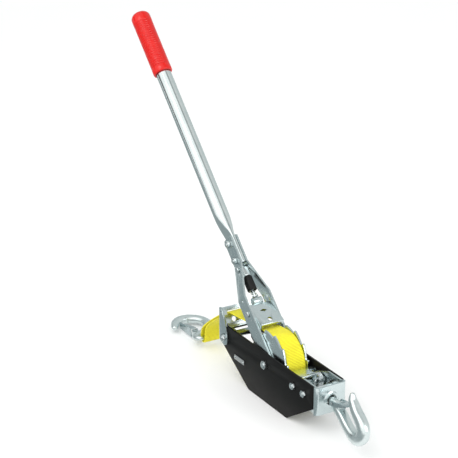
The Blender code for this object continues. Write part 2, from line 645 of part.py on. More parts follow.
def holding_pawl(hinge):
    """A bell crank about the front bolt: a dog under both wheels and a thumb plate on top."""
    steel = 3.0
    x0, z0 = BOLT_A
    back, front = (-26.5, 9.4), (11.0, 16.4)
    arc = [polar(TIP_R + (1.8 if degrees < -19 else 2.2), math.radians(degrees))
           for degrees in range(4, -32, -5)]
    tip, heel = polar(TIP_R + 0.8, math.radians(-31.5)), polar(TIP_R + 0.8, math.radians(-34.6))
    side = rounded([(*back, 1.5), *[(p.x - x0, p.y - z0, 0) for p in arc], (tip.x - x0, tip.y - z0, 0),
                    (heel.x - x0, heel.y - z0, 0), (-29.0, -29.5, 2), (-4.0, -9.0, 8), (7.0, -6.5, 7),
                    (front[0] - 0.5, front[1] - steel, 0), (*front, 1)])
    mesh = moved(flat(side, 2 * THUMB_HALF), (0, 0, 0), UPRIGHT)
    slope = (front[1] - back[1]) / (front[0] - back[0])
    for reach, low, high in ((40, steel - THUMB_HALF, THUMB_FAR - steel), (-13.5, 0, THUMB_HALF - steel)):
        under = [Vector((x, back[1] + slope * (x - back[0]) - steel)) for x in (-60, reach)]
        under += [Vector((reach, -60)), Vector((-60, -60))]
        inside = moved(flat(under, high - low), (0, (high + low) / 2, 0), UPRIGHT)
        mesh = combined(mesh, inside, "DIFFERENCE")
    mesh = combined(mesh, block((-14.0, THUMB_FAR, -60), (40, THUMB_HALF + 5, 60)), "DIFFERENCE")
    angle = math.degrees(math.atan(slope))
    opening = moved(flat(obround(0, 0, 5.0, 1.6), 20), turn=(0, 0, 90))
    mesh = combined(mesh, moved(opening, (5.0, -2.0, 14.0), (0, -angle, 0)), "DIFFERENCE")
    mesh = drilled(mesh, BOLT_HOLE_R, (0, 0, 0))
    piece("holding_pawl", mesh, ZINC, hinge)


def torsion_spring(frame):
    """Coils on the holding pawl's bolt, one leg under its thumb plate and one on the stop spacer."""
    x0, z0 = BOLT_A
    radius, wire, turns, low, high = 10.5, 1.2, 4, 9.0, 17.8
    path = [(x0 - 16.5, 14.6, z0 + 3.4), (x0 - 11.0, 15.6, z0 + 6.2)]
    steps = 12 * turns
    for k in range(steps + 1):
        a = math.pi / 2 - 2 * math.pi * k / 12
        path.append((x0 + radius * math.cos(a), high + (low - high) * k / steps, z0 + radius * math.sin(a)))
    path += [(x0 + 12.5, low - 0.6, z0 + radius + 0.6), (x0 + 17.0, 3.0, z0 + radius + 1.6),
             (x0 + 20.5, -2.4, z0 + radius + 1.0), (x0 + 21.5, -3.4, z0 + radius - 1.5),
              (x0 + 21.6, -3.6, z0 + 4.0)]
    piece("torsion_spring", swept(path, wire, 1), STEEL, frame)


# ---------------------------------------------------------------- hooks

def latch(name, hinge, length, half, narrow, open_to):
    """A sheet channel over the hook's neck, in its own frame: X to its free end, Z along its pin.

    Its top is cut away up to open_to, and its free end is this share of its full width."""
    steel = 1.4
    side = [(-5.0, -4.0, 4), (7.0, -4.0, 3), (length - 2, 0.8, 1), (length, 2.2, 0), (length, 4.0, 0),
            (-5.0, 4.0, 4)]
    mesh = flat(rounded(side), 2 * half)
    mesh = combined(mesh, block((-20, -20, -half + steel), (length + 9, 2.6, half - steel)), "DIFFERENCE")
    mesh = combined(mesh, block((-20, 2.0, -half + steel - 0.03), (open_to, 20, half - steel + 0.03)),
                    "DIFFERENCE")
    for side in (-1, 1):
        taper = [Vector((x, side * half * share)) for x, share in
                 ((9, 1.02), (length + 5, narrow), (length + 5, 2), (9, 2))]
        mesh = combined(mesh, moved(flat(taper, 40), (0, 0, 0), UPRIGHT), "DIFFERENCE")
    mesh = drilled(mesh, LATCH_PIN_R + GAP, (0, 0, 0), (0, 0, 0))
    piece(name + "_latch", mesh, ZINC, hinge)
    reach, clear, head = half + 1.0, half + GAP, LATCH_PIN_R + 1.0
    profile = [(0, reach), (head, reach), (head, clear), (LATCH_PIN_R, clear),
               (LATCH_PIN_R, -clear), (head, -clear), (head, -reach), (0, -reach)]
    piece(name + "_latch_pin", turned(profile, 12), STEEL, hinge.parent, [v / MM for v in hinge.location])


def swivel_hook(seat):
    """The anchor hook in its own frame: X along the shank and out, Y towards the tip's side."""
    washer = tube(12.0, 7.6, -9.2, -7.2, 28)
    piece("hook_washer", washer, STEEL, seat, (0, 0, 0), (0, 90, 0))
    swivel = pivot("swivel", (0, 0, 0), (HOOK_ROLL, 0, 0), seat)
    nut = turned([(10.0, -9.6), (11.0, -10.4), (11.0, -15.2), (10.0, -16.0), (7.2, -16.0), (7.2, -9.6)], 28)
    piece("hook_nut", nut, STEEL, swivel, (0, 0, 0), (0, 90, 0))
    path = [(-17.5, 0, 0, 6.5, 6.5, 2), (0, 0, 0, 6.5, 6.5, 2), (13, 1.8, 0, 7.8, 7.2, 2.2),
            (24, 0.3, 0, 7.2, 7.9, 2.8), (37.7, -2.4, 0, 6.8, 8.0, 3.2), (53.7, -7.2, 0, 7.0, 8.0, 3.2),
            (70, -9.8, 0, 8.0, 8.2, 3.0), (82, -7.3, 0, 9.6, 8.6, 2.7), (89.1, 3.2, 0, 10.8, 8.6, 2.6),
            (87.8, 14.8, 0, 10.4, 8.6, 2.6), (77.4, 21.7, 0, 9.0, 8.4, 2.8), (63.3, 26.5, 0, 7.6, 8.0, 3.0),
            (53.2, 31.8, 0, 6.8, 7.2, 2.8), (47.2, 35.5, 0, 6.0, 6.4, 2.5), (43.5, 40.3, 0, 5.0, 5.0, 2.2),
            (41.6, 44.0, 0, 3.6, 3.6, 2), (40.9, 45.2, 0, 2.0, 2.0, 2)]
    mesh = forged(smooth_path(path, 3))
    mesh = combined(mesh, block((72.0, 0.5, -4.0), (80.0, 7.0, 4.0)), "DIFFERENCE")
    mesh = drilled(mesh, LATCH_PIN_R + GAP, ANCHOR_LATCH, (0, 0, 0))
    piece("anchor_hook", mesh, ZINC, swivel)
    hinge = pivot("anchor_latch_hinge", ANCHOR_LATCH, (0, 0, ANCHOR_LATCH_TURN), swivel)
    latch("anchor", hinge, 38.0, 9.9, 0.85, 15.0)


# ---------------------------------------------------------------- strap

def ribbon(path, thick):
    """The outline of webbing seen from its edge, along a path of (x, z) points."""
    upper, lower = [], []
    for i, point in enumerate(path):
        along = (path[min(len(path) - 1, i + 1)] - path[max(0, i - 1)]).normalized()
        side = Vector((-along.y, along.x)) * (thick / 2)
        upper.append(point + side)
        lower.append(point - side)
    return upper + lower[::-1]


def strap_run(frame):
    """The stretch from the top of the roll to the rear guide's slot."""
    reach = ROLL_R + GAP + WEB_THICK / 2
    slot = guide_wall_point(SLOT_DOWN)
    angle = math.atan2(slot.y, slot.x) - math.acos(reach / slot.length)
    mesh = flat(ribbon([polar(reach, angle), slot], WEB_THICK), 2 * WEB_HALF)
    piece("strap_run", mesh, WEBBING, frame, (0, 0, 0), UPRIGHT)


def strap_tail(hinge):
    """From the slot down to the floor, round the hook's bar and back up to be sewn to itself."""
    slot = guide_wall_point(SLOT_DOWN)
    route = [(slot.x - 1.3, slot.y - 0.4), (-146.0, 26.4), (-162.4, 15.5), (-182.0, 1.8), (-198.4, -10.9),
             (-211.2, -22.2), (-218.2, -32.4), (-219.6, -43.5), (-217.6, -49.6), (-213.3, -51.7),
              (-209.0, -49.6),
             (-207.1, -43.5), (-206.4, -32.5), (-202.8, -22.0), (-196.4, -13.9), (-180.3, -0.4),
              (-160.8, 13.2)]
    path = smooth_path([Vector(p) - slot for p in route], 3)
    piece("strap_tail", flat(ribbon(path, WEB_THICK), 2 * WEB_HALF), WEBBING, hinge, (0, 0, 0), UPRIGHT)


def strap_hook(hinge):
    """The strap's hook, in its own frame: X away from the bar, Y to the tip's side, Z up.

    Its eye is a triangle of bar stock whose near side is the bar that the loop goes round."""
    drop = STRAP_DROP
    side = [(2, 21, 0, 3.8), (9, 23.2, -1.3, 4.2), (18, 20.5, -4, 5.0), (26.6, 13, -7.4, 5.8),
            (33.2, 5, drop, 6.4)]
    eye = [(0, y, 0, 3.7) for y in (-14, 0, 14)] + side
    eye += [(x, -y, z, r) for x, y, z, r in reversed(side)]
    mesh = swept(smooth_path(eye, 3, closed=True), 1.0, 2, closed=True)
    body = [(31.2, 0, drop, 6.4, 5.1, 2), (37.2, -7, drop, 7.4, 5.9, 2.3), (50.2, -22, drop, 7.8, 6.2, 2.8),
            (67.2, -30, drop, 7.6, 6.1, 2.8), (85.2, -26, drop, 7.8, 6.2, 2.8),
            (97.2, -12, drop, 8.4, 6.7, 2.6),
            (99.2, 3, drop, 8.4, 6.7, 2.6), (93.2, 15, drop, 7.8, 6.2, 2.6), (83.2, 23, drop, 6.4, 5.1, 2.3),
            (75.4, 26.9, drop, 4.8, 3.9, 2), (73.6, 27.8, drop, 3.0, 2.4, 2)]
    mesh = combined(mesh, forged(smooth_path(body, 3)), "UNION")
    lug = moved(rod(5.6, -5.1, 5.1, 20), STRAP_LATCH)
    mesh = combined(mesh, lug, "UNION")
    mesh = combined(mesh, block((85.0, -7.0, drop - 4.0), (91.8, 1.5, drop + 4.0)), "DIFFERENCE")
    mesh = drilled(mesh, LATCH_PIN_R + GAP, STRAP_LATCH, (0, 0, 0), 40)
    piece("strap_hook", mesh, ZINC, hinge)
    latch("strap", pivot("strap_latch_hinge", STRAP_LATCH, (0, 0, STRAP_LATCH_TURN), hinge),
          41.5, 8.0, 0.62, 8.0)


# ---------------------------------------------------------------- the whole winch

clear_scene()
PARTS = new_collection("come_along_winch")
WORK = new_collection("cutters")

ZINC = finish("zinc", (0.62, 0.66, 0.66), 0.32, 1.0)
STEEL = finish("steel", (0.60, 0.62, 0.62), 0.35, 1.0)
BLACK = finish("black", (0.03, 0.03, 0.03), 0.55)
RED = finish("red", (0.85, 0.04, 0.03), 0.40)
WEBBING = finish("webbing", (0.90, 0.82, 0.05), 0.75)
LABEL = finish("label", (0.55, 0.56, 0.56), 0.40, 0.6)

frame = pivot("frame", AXLE)
side_plates(frame)
front_yoke(frame)
rear_guide(frame)
frame_bolts(frame)
label_plate(frame)
torsion_spring(frame)
strap_run(frame)

drum = pivot("drum", parent=frame)
drum_pieces(drum)

lever = pivot("lever", turn=(0, -LEAN, 0), parent=frame)
lever_arms(lever)
handle(lever)
lever_fasteners(lever)
drive_pawl(pivot("drive_pawl_hinge", (0, 0, PAWL_PIN), (0, LEAN + PAWL_SLOPE, 0), lever))
plunger(pivot("plunger_hinge", (0, 0, ANCHOR_PIN), (0, -2.0, 0), lever))
holding_pawl(pivot("holding_pawl_hinge", (BOLT_A[0], 0, BOLT_A[1]), parent=frame))

facing = Vector(HOOK_AXIS).to_track_quat("X", "Z").to_euler()
seat = pivot("hook_seat", (YOKE_FRONT, 0, SHANK_Z), [math.degrees(a) for a in facing], frame)
swivel_hook(seat)

slot_place = guide_wall_point(SLOT_DOWN)
strap_hinge = pivot("strap_hinge", (slot_place.x, 0, slot_place.y), parent=frame)
strap_tail(strap_hinge)
to_bar = Vector(STRAP_BAR) - Vector((slot_place.x, 0, slot_place.y))
strap_hook(pivot("strap_hook_hinge", to_bar, (0, 0, 180), strap_hinge))
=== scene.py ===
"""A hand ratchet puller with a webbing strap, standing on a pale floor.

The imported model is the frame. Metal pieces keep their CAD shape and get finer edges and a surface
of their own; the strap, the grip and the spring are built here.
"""
import json
import math

import bmesh
import bpy
from mathutils import Matrix, Vector


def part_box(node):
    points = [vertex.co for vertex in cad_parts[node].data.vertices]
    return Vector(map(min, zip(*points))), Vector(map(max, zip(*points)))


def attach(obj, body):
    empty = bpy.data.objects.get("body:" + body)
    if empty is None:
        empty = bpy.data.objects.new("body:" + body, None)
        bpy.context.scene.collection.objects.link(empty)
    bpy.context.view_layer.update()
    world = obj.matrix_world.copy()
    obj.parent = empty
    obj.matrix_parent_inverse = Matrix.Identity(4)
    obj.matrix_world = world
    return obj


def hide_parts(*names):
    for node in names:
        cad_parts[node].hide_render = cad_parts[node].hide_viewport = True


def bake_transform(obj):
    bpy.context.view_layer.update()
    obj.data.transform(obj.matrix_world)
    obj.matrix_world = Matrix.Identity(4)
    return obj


MM = 0.001
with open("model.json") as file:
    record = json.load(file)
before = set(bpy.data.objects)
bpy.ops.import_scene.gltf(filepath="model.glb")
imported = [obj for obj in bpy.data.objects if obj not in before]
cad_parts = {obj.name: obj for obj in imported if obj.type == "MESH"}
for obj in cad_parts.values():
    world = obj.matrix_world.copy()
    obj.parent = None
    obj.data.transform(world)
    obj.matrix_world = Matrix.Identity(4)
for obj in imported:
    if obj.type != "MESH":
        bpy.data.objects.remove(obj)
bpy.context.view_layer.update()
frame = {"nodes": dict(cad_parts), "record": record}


def middle(node):
    """The middle of a CAD node's box."""
    low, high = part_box(node)
    return (Vector(low) + Vector(high)) / 2


AXLE = middle("drum_hub")
LEAN = math.radians(45.1)                 # the lever leans back from upright
WEB_HALF, WEB_THICK = 16.0, 2.0           # mm
ROLL_R, HUB_R = 44.3, 13.2
DOME, DOME_HIGH = 12.5, 10.5              # the rounding of the grip's end
RING_PITCH = 3.9                          # the grip's rings
RIB_PITCH, CORD_PITCH = 0.0022, 0.0022    # m, the webbing's ribs across and cords along
CAMERA_AZIMUTH, CAMERA_ELEVATION = math.radians(59.4993), math.radians(21.2516)
CAMERA_AT = Vector((1859.9862, -1187.3414, 1073.3332))      # from the axle
CAMERA_LENS = 125.764


# ---------------------------------------------------------------- node helpers

class Nodes:
    """A short way to write a material's node tree."""

    def __init__(self, name):
        self.material = bpy.data.materials.new(name)
        self.material.use_nodes = True
        self.tree = self.material.node_tree
        self.shader = self.tree.nodes["Principled BSDF"]

    def add(self, kind, values=None, **settings):
        node = self.tree.nodes.new(kind)
        for key, value in settings.items():
            setattr(node, key, value)
        for key, value in (values or {}).items():
            self.feed(node.inputs[key], value)
        return node

    def feed(self, socket, value):
        if isinstance(value, bpy.types.NodeSocket):
            self.tree.links.new(value, socket)
        else:
            socket.default_value = value

    def set(self, **values):
        for key, value in values.items():
            self.feed(self.shader.inputs[key.replace("_", " ")], value)

    def place(self):
        return self.add("ShaderNodeTexCoord").outputs["Object"]

    def noise(self, scale, detail=3.0, rough=0.55, vector=None, stretch=None):
        vector = vector or self.place()
        if stretch:
            vector = self.add("ShaderNodeMapping", {"Vector": vector, "Scale": stretch}).outputs[0]
        made = self.add("ShaderNodeTexNoise", {"Vector": vector, "Scale": scale, "Detail": detail,
                                              "Roughness": rough})
        return made.outputs["Fac"]

    def ramp(self, fac, *stops):
        """A colour ramp of (place, colour) stops."""
        node = self.add("ShaderNodeValToRGB", {"Fac": fac})
        marks = node.color_ramp.elements
        while len(marks) < len(stops):
            marks.new(0.5)
        for mark, (at, colour) in zip(marks, stops):
            mark.position = at
            mark.color = (*colour, 1) if isinstance(colour, tuple) else (colour, colour, colour, 1)
        return node.outputs["Color"]

    def mix(self, fac, a, b, blend="MIX"):
        node = self.add("ShaderNodeMix", data_type="RGBA", blend_type=blend)
        for key, value in ((0, fac), (6, a), (7, b)):
            if isinstance(value, tuple):
                value = (*value, 1)
            self.feed(node.inputs[key], value)
        return node.outputs[2]

    def math(self, kind, a, b=0.0, c=0.0):
        node = self.add("ShaderNodeMath", operation=kind)
        for socket, value in zip(node.inputs, (a, b, c)):
            self.feed(socket, value)
        return node.outputs[0]

    def bump(self, height, distance, strength=1.0, normal=None):
        values = {"Height": height, "Distance": distance, "Strength": strength}
        if normal is not None:
            values["Normal"] = normal
        return self.add("ShaderNodeBump", values).outputs["Normal"]


def zinc(name, dark, light, rough, grain=260.0, mottle=70.0, brushed=None):
    """Zinc plate: a soft mottle in colour and gloss, and a fine grain."""
    n = Nodes(name)
    cloud = n.noise(mottle, 4.0, 0.6)
    fine = n.noise(grain, 3.0, 0.6, stretch=brushed)
    both = n.math("ADD", n.math("MULTIPLY", cloud, 0.65), n.math("MULTIPLY", fine, 0.35))
    low, high = rough
    n.set(Metallic=1.0, Base_Color=n.ramp(both, (0.36, dark), (0.64, light)),
          Roughness=n.ramp(both, (0.35, low), (0.65, high)),
          Normal=n.bump(both, 0.00006, 0.10))
    return n.material


def black_powder():
    n = Nodes("black_powder_coat")
    peel = n.noise(900.0, 2.0)
    cloud = n.noise(35.0, 4.0)
    n.set(Base_Color=n.ramp(cloud, (0.35, (0.0045, 0.0043, 0.0040)), (0.7, (0.0068, 0.0065, 0.0060))),
          Roughness=n.ramp(cloud, (0.3, 0.38), (0.7, 0.50)), Normal=n.bump(peel, 0.00006, 0.5))
    n.shader.inputs["Specular IOR Level"].default_value = 0.13
    return n.material


def vinyl():
    n = Nodes("red_vinyl")
    cloud = n.noise(60.0, 4.0)
    fine = n.noise(1400.0, 2.0)
    n.set(Base_Color=n.ramp(cloud, (0.3, (0.62, 0.006, 0.004)), (0.7, (0.68, 0.010, 0.006))),
          Roughness=n.ramp(cloud, (0.3, 0.13), (0.7, 0.19)), Normal=n.bump(fine, 0.00001, 0.3))
    n.shader.inputs["Specular IOR Level"].default_value = 0.42
    return n.material


def rubber():
    n = Nodes("black_rubber")
    cloud = n.noise(120.0, 4.0)
    n.set(Base_Color=n.ramp(cloud, (0.3, (0.004, 0.004, 0.0042)), (0.7, (0.009, 0.009, 0.0095))),
          Roughness=n.ramp(cloud, (0.3, 0.42), (0.7, 0.60)), Normal=n.bump(n.noise(700.0), 0.00005, 0.5))
    n.shader.inputs["Specular IOR Level"].default_value = 0.25
    return n.material


def webbing():
    """Ribbed polyester: ribs across the strap and bundles along it."""
    n = Nodes("yellow_polyester_webbing")
    uv = n.add("ShaderNodeUVMap", uv_map="strap").outputs["UV"]
    parts = n.add("ShaderNodeSeparateXYZ", {"Vector": uv})
    across, along = parts.outputs[0], parts.outputs[1]
    wobble = n.math("MULTIPLY", n.math("SUBTRACT", n.noise(220.0, 2.0), 0.5), 0.0006)
    lift = n.math("PINGPONG", across, 0.0011)
    row = n.math("ADD", n.math("ADD", along, wobble), n.math("MULTIPLY", lift, 0.12))
    ribs = n.math("SINE", n.math("MULTIPLY", row, 2 * math.pi / RIB_PITCH))
    cords = n.math("SINE", n.math("MULTIPLY", across, 2 * math.pi / CORD_PITCH))
    fibre = n.noise(1500.0, 2.0)
    weave = n.math("ADD", n.math("MULTIPLY", ribs, 0.42), n.math("MULTIPLY", cords, 0.04))
    fuzz = n.math("MULTIPLY", n.math("SUBTRACT", fibre, 0.5), 0.35)
    height = n.math("ADD", n.math("ADD", weave, 0.5), fuzz)
    worn = n.noise(45.0, 4.0)
    # the ramp darkens and browns the colour where the weave is low: painted shade in the troughs between the ribs,
    # over the webbing's own yellow
    colour = n.ramp(height, (0.14, (0.66, 0.50, 0.006)), (0.36, (0.97, 0.91, 0.014)),
                    (0.84, (0.99, 0.96, 0.030)))
    tone = n.ramp(worn, (0.35, (0.90, 0.88, 0.80)), (0.65, (1.0, 1.0, 1.0)))
    n.set(Base_Color=n.mix(1.0, colour, tone, "MULTIPLY"), Roughness=0.62, Sheen_Weight=0.15,
          Sheen_Roughness=0.4, Normal=n.bump(height, 0.0005, 0.85))
    n.shader.inputs["Sheen Tint"].default_value = (1.0, 0.95, 0.55, 1)
    return n.material


def thread():
    n = Nodes("seam_thread")
    n.set(Base_Color=n.ramp(n.noise(900.0), (0.3, (0.78, 0.66, 0.04)), (0.7, (0.95, 0.90, 0.25))),
          Roughness=0.5,
          Sheen_Weight=0.3, Normal=n.bump(n.noise(1800.0), 0.0001, 0.6))
    return n.material


def label_metal():
    n = Nodes("blank_label")
    lines = n.noise(260.0, 3.0, 0.7, stretch=(0.15, 1.0, 1.0))
    n.set(Metallic=0.9, Base_Color=n.ramp(lines, (0.3, (0.42, 0.43, 0.43)), (0.7, (0.60, 0.61, 0.61))),
          Roughness=n.ramp(lines, (0.3, 0.28), (0.7, 0.45)), Normal=n.bump(lines, 0.00004, 0.5))
    return n.material


FINISHES = {
    "zinc_plate": zinc("zinc_plate", (0.545, 0.625, 0.635), (0.60, 0.675, 0.68), (0.20, 0.28)),
    "forged_zinc": zinc("forged_zinc", (0.63, 0.70, 0.70), (0.69, 0.755, 0.75), (0.26, 0.34), 200.0, 90.0),
    "latch_sheet": zinc("latch_sheet", (0.42, 0.49, 0.51), (0.52, 0.59, 0.60), (0.20, 0.32)),
    "black_paint": black_powder(),
    "bright_steel": zinc("bright_steel", (0.55, 0.61, 0.62), (0.70, 0.74, 0.74), (0.16, 0.30)),
    "spring_steel": zinc("spring_steel", (0.42, 0.46, 0.47), (0.60, 0.64, 0.65), (0.18, 0.30), 500.0),
    "black_sleeve": rubber(),
    "red_grip": vinyl(),
    "yellow_webbing": webbing(),
    "label_metal": label_metal(),
}
TUBE_ZINC = zinc("tube_zinc", (0.60, 0.67, 0.675), (0.68, 0.735, 0.735), (0.11, 0.19), 240.0, 40.0,
                 brushed=(1.0, 1.0, 0.2))
THREAD = thread()


# ---------------------------------------------------------------- pieces

def new_piece(name, mesh, material, body, replaces=()):
    obj = bpy.data.objects.new(name, mesh)
    bpy.context.scene.collection.objects.link(obj)
    obj.data.materials.append(material)
    if body:
        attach(obj, body)
    if replaces:
        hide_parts(*replaces)
    return obj


def mesh_from(name, build):
    """A mesh filled by build(bmesh), with outward normals and smooth faces."""
    work = bmesh.new()
    build(work)
    bmesh.ops.recalc_face_normals(work, faces=work.faces)
    for face in work.faces:
        face.smooth = True
    mesh = bpy.data.meshes.new(name)
    work.to_mesh(mesh)
    work.free()
    return mesh


def smooth_path(points, spans):
    """A Catmull-Rom curve through points."""
    points = [Vector(p) for p in points]
    ends = [2 * points[0] - points[1], *points, 2 * points[-1] - points[-2]]
    path = []
    for a, b, c, d in zip(ends, ends[1:], ends[2:], ends[3:]):
        for k in range(spans):
            t = k / spans
            path.append(0.5 * (2 * b + (c - a) * t + (2 * a - 5 * b + 4 * c - d) * t ** 2
                               + (3 * b - a - 3 * c + d) * t ** 3))
    return path + [points[-1]]


def polar(radius, angle):
    return Vector((radius * math.cos(angle), radius * math.sin(angle)))


def strap_section(half, thick):
    """Half a webbing's outline seen from its end, as (across, height) points: flat, with soft edges."""
    flat = [-half + 1.6 + k * (2 * half - 3.2) / 10 for k in range(11)]
    top = [(-half, 0.0), (-half + 0.35, thick * 0.34), *[(y, thick / 2) for y in flat],
           (half - 0.35, thick * 0.34), (half, 0.0)]
    return top + [(y, -h) for y, h in reversed(top[1:-1])]


def strap_mesh(name, path, thick=WEB_THICK, half=WEB_HALF, start=0.0):
    """Webbing along a path of (x, z) points in mm from the axle. Returns the mesh and its length in m."""
    section = strap_section(half, thick)
    lengths = [start]
    for a, b in zip(path, path[1:]):
        lengths.append(lengths[-1] + (b - a).length)

    def build(work):
        layer = work.loops.layers.uv.new("strap")
        rings, spots = [], {}
        for i, point in enumerate(path):
            along = (path[min(len(path) - 1, i + 1)] - path[max(0, i - 1)]).normalized()
            up = Vector((-along.y, along.x))
            ring = []
            for y, h in section:
                p = point + up * h
                vert = work.verts.new(Vector((p.x, y, p.y)) * MM + AXLE)
                spots[vert] = (y * MM + half * MM, lengths[i] * MM)
                ring.append(vert)
            rings.append(ring)
        count = len(section)
        for low, high in zip(rings, rings[1:]):
            for k in range(count):
                work.faces.new((low[k], low[(k + 1) % count], high[(k + 1) % count], high[k]))
        work.faces.new(rings[0])
        work.faces.new(rings[-1])
        for face in work.faces:
            for loop in face.loops:
                loop[layer].uv = spots[loop.vert]

    return mesh_from(name, build), (lengths[-1] - start) * MM


def turned(name, profile, steps, place):
    """A solid of revolution about Z from (radius, height) points in mm, then moved to its place."""
    def build(work):
        rings = []
        for radius, height in profile:
            if radius <= 0:
                rings.append([work.verts.new((0, 0, height * MM))])
            else:
                rings.append([work.verts.new((radius * MM * math.cos(a), radius * MM * math.sin(a), height * MM))
                              for a in (2 * math.pi * k / steps for k in range(steps))])
        for low, high in zip(rings, rings[1:]):
            for k in range(steps):
                n = (k + 1) % steps
                corners = [low[0] if len(low) == 1 else low[k], low[0] if len(low) == 1 else low[n],
                           high[0] if len(high) == 1 else high[n], high[0] if len(high) == 1 else high[k]]
                unique = list(dict.fromkeys(corners))
                if len(unique) > 2:
                    work.faces.new(unique)
    mesh = mesh_from(name, build)
    mesh.transform(place)
    return mesh


def wire(name, path, radius, sides=10):
    """A round wire along a path of points in the row frame, in metres, its ends closed."""
    path = [Vector(p) for p in path]

    def build(work):
        rings, side = [], None
        for i, point in enumerate(path):
            along = (path[min(len(path) - 1, i + 1)] - path[max(0, i - 1)]).normalized()
            if side is None:
                side = along.orthogonal().normalized()
            side = (side - along * side.dot(along)).normalized()
            other = along.cross(side)
            rings.append([work.verts.new(point + (side * math.cos(a) + other * math.sin(a)) * radius)
                          for a in (2 * math.pi * k / sides for k in range(sides))])
        for low, high in zip(rings, rings[1:]):
            for k in range(sides):
                work.faces.new((low[k], low[(k + 1) % sides], high[(k + 1) % sides], high[k]))
        work.faces.new(rings[0])
        work.faces.new(rings[-1])

    return mesh_from(name, build)


# ---------------------------------------------------------------- CAD nodes

EDGE = {"zinc_plate": 0.5, "black_paint": 0.5, "bright_steel": 0.35, "latch_sheet": 0.3, "label_metal": 0.12,
        "forged_zinc": 0.5, "black_sleeve": 0.3}
SOFT_ANGLE = {"forged_zinc": 55.0}


def dress_nodes():
    """Every CAD node gets its slot's finish, a fine edge and smooth rounds."""
    slots = {part["node"]: part["material_slot"] for part in frame["record"]["subparts"]}
    for name, obj in frame["nodes"].items():
        slot = slots[name]
        finish = TUBE_ZINC if name == "handle_tube" else FINISHES[slot]
        obj.data.materials.clear()
        obj.data.materials.append(finish)
        weld = obj.modifiers.new("weld", "WELD")
        weld.merge_threshold = 0.00002
        angle = math.radians(SOFT_ANGLE.get(slot, 32.0))
        if slot in EDGE:
            bevel = obj.modifiers.new("edge", "BEVEL")
            bevel.width = EDGE[slot] * MM
            bevel.segments = 2
            bevel.limit_method = "ANGLE"
            bevel.angle_limit = angle
            bevel.use_clamp_overlap = True
            bevel.harden_normals = False
        smooth = obj.modifiers.new("smooth", "NODES")
        smooth.node_group = smooth_by_angle(angle)


def smooth_by_angle(angle):
    """A node group that shades faces smooth except across sharp edges."""
    name = f"smooth_{round(math.degrees(angle))}"
    group = bpy.data.node_groups.get(name)
    if group:
        return group
    group = bpy.data.node_groups.new(name, "GeometryNodeTree")
    group.interface.new_socket("Geometry", in_out="INPUT", socket_type="NodeSocketGeometry")
    group.interface.new_socket("Geometry", in_out="OUTPUT", socket_type="NodeSocketGeometry")
    nodes, links = group.nodes, group.links
    first, last = nodes.new("NodeGroupInput"), nodes.new("NodeGroupOutput")
    edge = nodes.new("GeometryNodeInputMeshEdgeAngle")
    less = nodes.new("FunctionNodeCompare")
    less.data_type = "FLOAT"
    less.operation = "LESS_EQUAL"
    less.inputs[1].default_value = angle
    faces, edges = nodes.new("GeometryNodeSetShadeSmooth"), nodes.new("GeometryNodeSetShadeSmooth")
    faces.domain, edges.domain = "FACE", "EDGE"
    links.new(edge.outputs["Unsigned Angle"], less.inputs[0])
    links.new(first.outputs[0], faces.inputs["Geometry"])
    links.new(faces.outputs[0], edges.inputs["Geometry"])
    links.new(less.outputs[0], edges.inputs["Shade Smooth"])
    links.new(edges.outputs[0], last.inputs[0])
    return group


# ---------------------------------------------------------------- strap

WALL_TOP, WALL_FOOT, SLOT_DOWN = Vector((-132.5, 44.0)), Vector((-118.5, 15.5)), 10.6
SLOT = WALL_TOP + (WALL_FOOT - WALL_TOP).normalized() * SLOT_DOWN
TAIL_ROUTE = [(-146.0, 26.4), (-162.4, 15.5), (-182.0, 1.8), (-198.4, -10.9), (-211.2, -22.2), (-218.2, -32.4),
              (-219.6, -43.5), (-217.6, -49.6), (-213.3, -51.7), (-209.0, -49.6), (-207.1, -43.5), (-206.4, -32.5),
              (-202.8, -22.0), (-196.4, -13.9), (-180.3, -0.4), (-160.8, 13.2)]


def strap():
    """One strap: off the top of the roll, through the guide's slot, round the hook's bar and sewn back."""
    reach = 45.9
    top = math.atan2(SLOT.y, SLOT.x) - math.acos(reach / SLOT.length)
    lead = [polar(reach, top + math.radians(d)) for d in range(-98, 0, 7)]
    start = polar(reach, top)
    run = [start.lerp(SLOT, k / 12) for k in range(12)]
    tail = smooth_path([SLOT, *TAIL_ROUTE], 6)
    mesh, length = strap_mesh("strap_webbing", lead + run + tail)
    obj = new_piece("strap_webbing", mesh, FINISHES["yellow_webbing"], None,
                    ("strap_run", "strap_tail"))
    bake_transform(obj)


def wound_strap():
    """The webbing wound on the drum, as one long spiral."""
    pitch = WEB_THICK * 0.97
    turns = (ROLL_R - HUB_R - WEB_THICK * 0.5) / pitch
    steps = int(turns * 40)
    inner = HUB_R + WEB_THICK * 0.5
    end = math.radians(50)
    path = [polar(inner + pitch * turns * k / steps - 0.5 * WEB_THICK * (k / steps),
                  end - 2 * math.pi * turns * (1 - k / steps)) for k in range(steps + 1)]
    mesh, length = strap_mesh("strap_wound", path, WEB_THICK * 0.94)
    obj = new_piece("strap_wound", mesh, FINISHES["yellow_webbing"], "drum",
                    ("strap_roll",))


